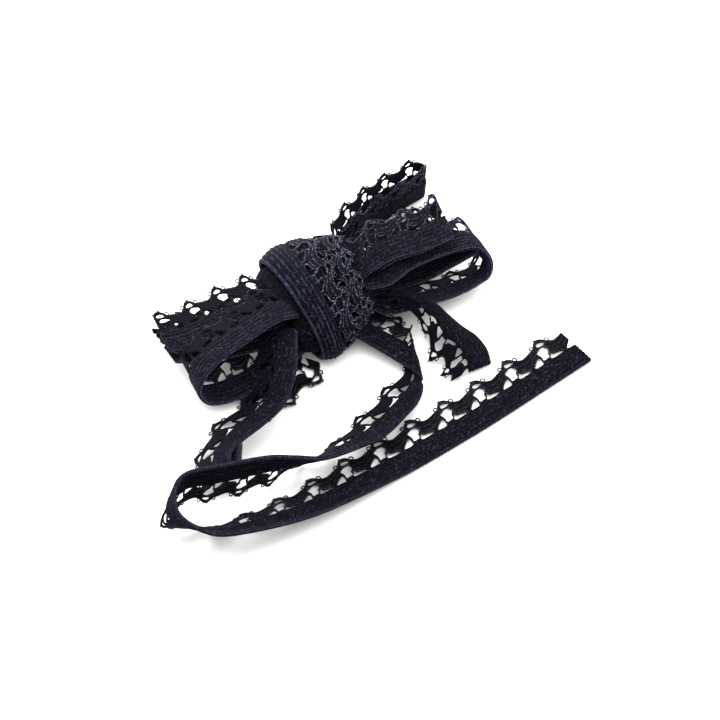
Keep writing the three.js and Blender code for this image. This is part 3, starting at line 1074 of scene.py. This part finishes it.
@dataclass
class Ribbon:
    """A length of the elastic laid along its route.

    stars says how far along the route the middle of each counted star comes, and node which CAD
    node the ribbon stands for.
    """

    workshop: Workshop
    name: str
    route: Route | WaistTurn
    slot: Slot
    lay: Lay
    stars: Stars
    node: str
    rests_on: tuple[str, ...] = ("hank_core",)
    yarn_sides: int = 5
    band_lift: float = 0.1
    end_play: float = 0.05
    joins_per_mm: int = 500
    least_area: float = 1e-5

    def _along(self, repeats: Array) -> Array:
        """How far along the route a count of repeats comes.

        Args:
            repeats: Counts of repeats, whole at the middle of each star.

        Returns:
            Distances along the route, carried on evenly beyond the first and the last known star.
        """
        counts, places = np.array(self.stars, float).T
        slope = np.diff(places) / np.diff(counts)
        inner = np.interp(repeats, counts, places)
        before = np.minimum(repeats - counts[0], 0) * slope[0]
        after = np.maximum(repeats - counts[-1], 0) * slope[-1]
        return inner + before + after

    def _counts(self) -> Array:
        """The repeats that lie on the route, wholly or in part.

        Returns:
            Their counts.
        """
        counts = np.arange(-60, 61)
        near = (self._along(counts + 0.5) > 0) & (self._along(counts - 0.5) < self.route.length)
        return counts[near]

    def _sheet(self) -> tuple[Array, Array, Array]:
        """The repeats joined and cut to the route's length, still without thickness.

        Returns:
            Each point's distance along the route, its place on the flat elastic, and the triangles.
        """
        flat, cut = self.workshop.repeat.points, self.workshop.repeat.triangles
        counts = self._counts()
        charted = (counts[:, None] + flat[None, :, 0] / REPEAT).ravel()
        u = self._along(charted)
        v = np.tile(flat[:, 1], len(counts))
        triangles = (cut[None] + len(flat) * np.arange(len(counts))[:, None, None]).reshape(-1, 3)
        length = self.route.length
        started = (u[triangles] > 1e-6).any(axis=1)
        ended = (u[triangles] >= length - 1e-6).all(axis=1)
        triangles = triangles[started & ~ended]
        u = np.clip(u, 0.0, length)
        key = np.round(np.stack([u, v], axis=-1) * self.joins_per_mm).astype(int)
        _, first, same = np.unique(key, axis=0, return_index=True, return_inverse=True)
        u, v, charted = u[first], v[first], charted[first]
        triangles = same.ravel()[triangles]
        a, b, c = triangles.T
        area = (u[b] - u[a]) * (v[c] - v[a]) - (v[b] - v[a]) * (u[c] - u[a])
        triangles[area < 0] = triangles[area < 0][:, ::-1]
        used, triangles = renumber(triangles[np.abs(area) > self.least_area])
        return u[used], np.stack([charted[used] * REPEAT, v[used]], axis=-1), triangles

    def _cloth_mesh(self) -> MeshParts:
        """The band and the lace's cloth as one closed sheet.

        Returns:
            Its points in metres, its faces, and each point's place on the flat elastic.
        """
        u, chart, triangles = self._sheet()
        v = chart[:, 1]
        thick = LaceRepeat.half_thickness(v)
        surfaces = [self.route.place(u, v, thick), self.route.place(u, v, -thick)]
        n = len(u)
        sides = np.concatenate([triangles[:, [0, 1]], triangles[:, [1, 2]], triangles[:, [2, 0]]])
        there, back = sides[:, 0] * n + sides[:, 1], sides[:, 1] * n + sides[:, 0]
        rim = sides[~np.isin(back, there)]
        faces = triangles.tolist()
        faces += (triangles[:, ::-1] + n).tolist()
        faces += [(b, a, a + n, b + n) for a, b in rim.tolist()]
        return to_frame(np.concatenate(surfaces)), faces, np.tile(chart, (2, 1))

    def _yarn_mesh(self) -> MeshParts:
        """The raised yarns of all the repeats as one mesh of tubes.

        Returns:
            Its points in metres, its faces, and each point's place on the flat elastic.
        """
        side = np.arange(self.yarn_sides)
        next_side = (side + 1) % self.yarn_sides
        turn = np.linspace(0, 2 * math.pi, self.yarn_sides, endpoint=False)
        counts = self._counts()
        points, faces, chart = [], [], []
        first = 0
        for strand in self.workshop.repeat.strands:
            line, n = strand.line, len(strand.line)
            right = right_of(line, strand.closed)
            out, high = strand.radius * np.cos(turn), strand.radius * np.sin(turn)
            charted = counts[:, None, None] * REPEAT + line[:, :1] + right[:, :1] * out
            lift = strand.lift + np.where(line[:, 1] < BAND_WIDTH, self.band_lift, 0.0)
            u = self._along(charted / REPEAT).ravel()
            v = np.broadcast_to(line[:, 1:] + right[:, 1:] * out, charted.shape).ravel()
            h = np.broadcast_to(lift[:, None] + high, charted.shape).ravel()
            points.append(self.route.place(u, v, h))
            chart.append(np.stack([charted.ravel(), v], axis=-1))
            middle = self._along(counts[:, None] + line[:, 0] / REPEAT)
            on = (middle > -self.end_play) & (middle < self.route.length + self.end_play)
            here = np.arange(n if strand.closed else n - 1)
            ahead = (here + 1) % n
            shown = on[:, here] & on[:, ahead]
            if strand.closed:
                shown &= on.all(axis=1)[:, None]
            count, link = np.nonzero(shown)
            a = first + (count * n + here[link])[:, None] * self.yarn_sides
            b = first + (count * n + ahead[link])[:, None] * self.yarn_sides
            tube = np.stack([a + side, a + next_side, b + next_side, b + side], axis=-1)
            faces.append(tube.reshape(-1, 4))
            first += len(u)
        used, kept = renumber(np.concatenate(faces))
        return to_frame(np.concatenate(points)[used]), kept.tolist(), np.concatenate(chart)[used]

    def make(self) -> None:
        cloth_dye, yarn_dye = self.workshop.dyes[self.slot]
        cloth = mesh_piece(f"{self.name}_cloth", self._cloth_mesh(), cloth_dye)
        yarn = mesh_piece(f"{self.name}_yarn", self._yarn_mesh(), yarn_dye)
        for piece in (cloth, yarn):
            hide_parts(self.node)
        log.info("%s: %.0f mm of elastic", self.name, self.route.length)


@dataclass
class Hank:
    """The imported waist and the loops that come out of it.

    groove is how deep the core is grooved between its layers, and layers how closely the grooves
    follow one another.
    """

    workshop: Workshop
    groove: float = 0.05
    layers: float = 3.5
    round_points: int = 96
    lowest: float = 0.1
    loops: tuple[Length, ...] = (
        (
            "right_front_loop",
            RIGHT_FRONT_LOOP,
            ((0, 5.0), (3, 28.6), (4, 39.0), (5, 46.3), (6, 53.7)),
        ),
        ("right_middle_loop", RIGHT_MIDDLE_LOOP, ((0, 7.2), (1, 15.2))),
        ("right_inner_loop", RIGHT_INNER_LOOP, ((0, 6.0), (1, 14.0))),
        ("right_back_loop", RIGHT_BACK_LOOP, ((0, 34.6), (1, 41.6), (2, 48.1), (3, 54.6))),
        ("right_under_turn", RIGHT_UNDER_TURN, ((0, 2.0), (1, 10.0))),
        (
            "left_back_loop",
            LEFT_BACK_LOOP,
            ((0, 4.9), (1, 12.6), (2, 20.2), (3, 27.8), (4, 37.0), (5, 44.6)),
        ),
        ("left_middle_loop", LEFT_MIDDLE_LOOP, ((0, 5.0), (1, 13.0))),
        ("left_front_loop", LEFT_FRONT_LOOP, ((0, 5.5), (3, 30.0), (4, 38.3), (5, 46.2))),
    )

    def core(self) -> None:
        """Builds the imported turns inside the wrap, grooved between their layers."""
        angle = np.linspace(0, 2 * math.pi, self.round_points, endpoint=False)
        rings, chart = [], []
        for i, section in enumerate(WAIST):
            front, up = waist_axes(math.radians(section.turn))
            depth = np.abs(np.sin(self.layers * section.up * np.sin(angle)))
            layer = 1 - self.groove * depth
            rings.append(
                np.array([section.x, section.y, section.z])
                + front * (section.across * layer * np.cos(angle))[:, None]
                + up * (section.up * layer * np.sin(angle))[:, None]
            )
            chart.append(np.stack([np.full_like(angle, i * 3.0), angle * 6], axis=-1))
        last, n = len(rings) - 1, self.round_points
        faces = [
            (r * n + k, r * n + (k + 1) % n, (r + 1) * n + (k + 1) % n, (r + 1) * n + k)
            for r in range(last)
            for k in range(n)
        ]
        faces += [tuple(range(n))[::-1], tuple(range(last * n, last * n + n))]
        points = np.concatenate(rings)
        points[:, 2] = np.maximum(points[:, 2], self.lowest)
        parts = (to_frame(points), faces, np.concatenate(chart))
        piece = mesh_piece("hank_core", parts, self.workshop.dyes[Slot.HANK][0])
        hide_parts("hank")

    def make(self) -> None:
        """Builds the core and every loop."""
        self.core()
        for name, rows, stars in self.loops:
            loop = Ribbon(self.workshop, name, Route(rows), Slot.HANK, Lay.FOLDED, stars, "hank")
            loop.make()


@dataclass
class WaistWrap:
    """The turns that tie the waist.

    Each turn has its name, where its plain edge lies along the waist, how far it lies under the
    wrap's outside where it is covered and where it is bare, and how far round its first star comes.
    """

    workshop: Workshop
    repeats: int = 8
    turns: tuple[tuple[str, float, float, float, float], ...] = (
        ("wrap_outer_turn", 0.0, 0.55, 0.2, 1.0),
        ("wrap_under_turn", 0.27, 1.9, 0.75, 5.0),
        ("wrap_inner_turn", 0.36, 3.1, 1.2, 2.6),
    )

    def make(self) -> None:
        """Builds the turn that shows whole and the two whose lace shows beside it."""
        for name, start, sink, lift, first in self.turns:
            route = WaistTurn(start, sink, lift)
            stars = ((0, first), (self.repeats, first + route.length))
            turn = Ribbon(
                self.workshop, name, route, Slot.WRAP, Lay.STRETCHED, stars, "waist_wrap"
            )
            turn.make()


@dataclass
class LooseEnds:
    """The four ends that lie beside the hank, each a node of its own."""

    workshop: Workshop
    ends: tuple[Length, ...] = (
        ("long_tail", LONG_TAIL, LONG_TAIL_STARS),
        ("short_tail", SHORT_TAIL, ((0, 11.9), (1, 20.3), (2, 26.8), (3, 32.0))),
        ("front_tail", FRONT_TAIL, ((0, 1.6), (1, 10.4), (3, 29.2), (4, 39.2))),
        ("under_tail", UNDER_TAIL, ((0, 3.2), (1, 11.2))),
    )

    def make(self) -> None:
        """Builds each loose end along its own route."""
        for name, rows, stars in self.ends:
            end = Ribbon(self.workshop, name, Route(rows), Slot.TAIL, Lay.LAID, stars, name, ())
            end.make()


@dataclass(frozen=True)
class Softbox:
    """A square soft light that faces the object."""

    name: str
    at: tuple[float, float, float]
    size: float
    power: float

    def make(self) -> None:
        """Hangs the light in its place."""
        data = bpy.data.lights.new(self.name, "AREA")
        data.size = self.size
        data.energy = self.power
        light = put_down(self.name, data)
        light.location = self.at
        light.rotation_euler = Vector(self.at).to_track_quat("Z", "Y").to_euler()


@dataclass
class Studio:
    """The table, the light and the camera.

    front_glow and back_glow are how bright the pale room is in front of the object and behind it,
    and fade_from and fade_to where the one passes into the other.
    """

    elevation: float = 50.0
    distance: float = 2.4
    pixels_per_mm: float = 4.28
    frame_pixels: int = 720
    sensor: float = 36.0
    table_half: float = 3.0
    table_colour: Colour = (0.58, 0.577, 0.573)
    room_colour: Colour = (1.0, 0.99, 0.98)
    front_glow: float = 1.9
    back_glow: float = 5.4
    fade_from: float = -0.7
    fade_to: float = 0.5
    softboxes: tuple[Softbox, ...] = (
        Softbox("back_softbox", (-0.5, 0.9, 1.1), 1.4, 22.0),
        Softbox("top_softbox", (0.1, 0.2, 1.6), 1.8, 12.0),
    )

    def camera(self) -> None:
        """Sets the camera at the photograph's angle."""
        data = bpy.data.cameras.new("camera")
        data.sensor_width = self.sensor
        field_width = self.frame_pixels / self.pixels_per_mm * MM
        data.lens = self.sensor * self.distance / field_width
        data.clip_start, data.clip_end = 0.05, 20.0
        rise = math.radians(self.elevation)
        target = Vector((-LAYOUT_CENTRE[0] * MM, -LAYOUT_CENTRE[1] * MM, 0.0))
        camera = put_down("camera", data)
        camera.location = target + self.distance * Vector((0.0, -math.cos(rise), math.sin(rise)))
        camera.rotation_euler = (math.pi / 2 - rise, 0.0, 0.0)
        bpy.context.scene.camera = camera

    def table(self) -> None:
        """Lays a plain pale table top."""
        recipe = Recipe(bpy.data.materials.new("pale_table"))
        recipe.feed(recipe.shader, Base_Color=(*self.table_colour, 1.0), Roughness=0.8)
        mesh = bpy.data.meshes.new("table")
        half = self.table_half
        corners = [(-half, -half, 0), (half, -half, 0), (half, half, 0), (-half, half, 0)]
        mesh.from_pydata(corners, [], [(0, 1, 2, 3)])
        mesh.materials.append(recipe.holder)
        put_down("table", mesh)

    def light(self) -> None:
        """Lights the object softly from behind and above, in a pale room."""
        room = Recipe(bpy.data.worlds.new("room"), "Background")
        split = room.add("SeparateXYZ", Vector=room.add("TexCoord").outputs["Generated"])
        fade = room.add(
            "MapRange",
            Value=split.outputs["Y"],
            From_Min=self.fade_from,
            From_Max=self.fade_to,
            To_Min=self.front_glow,
            To_Max=self.back_glow,
        )
        room.feed(room.shader, Color=(*self.room_colour, 1.0), Strength=fade.outputs["Result"])
        bpy.context.scene.world = room.holder
        for softbox in self.softboxes:
            softbox.make()
        bpy.context.scene.view_settings.view_transform = "Standard"

    def make(self) -> None:
        """Sets the whole studio."""
        self.camera()
        self.table()
        self.light()


def main() -> None:
    """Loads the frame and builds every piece."""
    logging.basicConfig(level=logging.INFO, format="%(message)s")
    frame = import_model()
    log.info("frame: %s", ", ".join(sorted(frame["nodes"])))
    Studio().make()
    workshop = Workshop()
    # The three dyes are one elastic in lit and shaded copies: the painted highlights on ribs, plain
    # edge and cord are set piece by piece, the wrap's ribs and cord brightest and the loose ends'
    # dimmest.
    workshop.dye(
        Slot.HANK,
        ElasticFinish("hank_elastic", rib=0.22, sheen=0.03, shine=0.02),
        YarnFinish("hank_cord", lit=(0.053, 0.054, 0.097), edge=0.6),
    )
    workshop.dye(
        Slot.WRAP,
        ElasticFinish("wrap_elastic", rib=0.55, edge=0.2, sheen=0.04, shine=0.015),
        YarnFinish("wrap_cord", lit=(0.09, 0.091, 0.14), edge=0.4),
    )
    workshop.dye(Slot.TAIL, ElasticFinish("tail_elastic"), YarnFinish("tail_cord"))
    Hank(workshop).make()
    WaistWrap(workshop).make()
    LooseEnds(workshop).make()


if __name__ == "__main__":
    main()
